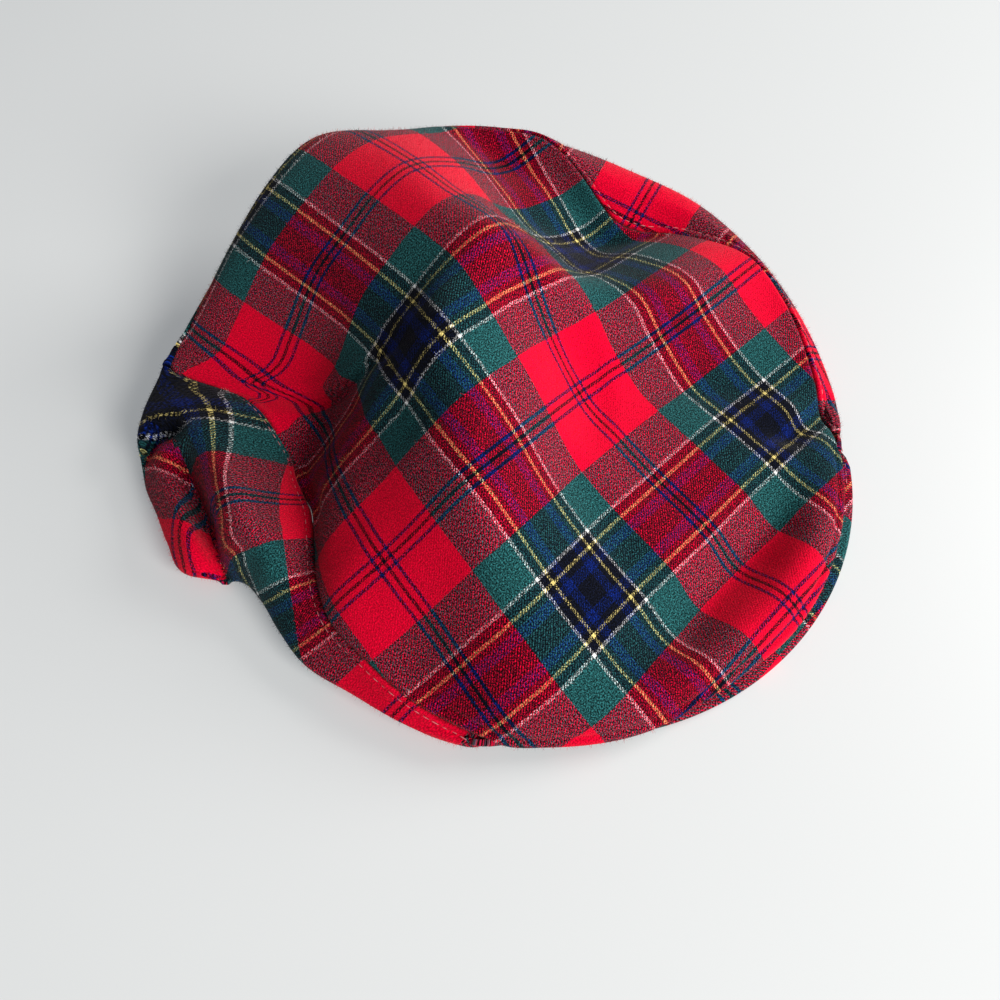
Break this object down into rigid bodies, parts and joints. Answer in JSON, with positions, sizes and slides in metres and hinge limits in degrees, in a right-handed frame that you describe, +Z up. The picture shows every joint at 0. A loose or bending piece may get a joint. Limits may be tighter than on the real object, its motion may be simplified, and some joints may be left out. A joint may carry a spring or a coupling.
{
  "type": "flat cap",
  "caption": "Soft flat cap of tartan wool, slumped on its rim: round top panel, two side panels and a short crescent peak, with an open head hollow underneath.",
  "frame": {"origin": "middle of the cap's base: the centre of its bounding box in plan, at the height of the surface it lies on", "axes": "-Y is the front of the cap, where the peak is; +X is the wearer's left; +Z is up"},
  "size_m": [0.2726, 0.2768, 0.081],
  "materials": {
    "top_wool": "brushed wool twill, red tartan",
    "left_wool": "brushed wool twill, red tartan",
    "right_wool": "brushed wool twill, red tartan",
    "peak_wool": "brushed wool twill, red tartan"
  },
  "bodies": {
    "root": {"top_panel": "top_wool", "side_panel_left": "left_wool", "side_panel_right": "right_wool", "peak": "peak_wool"}
  },
  "joints": []
}
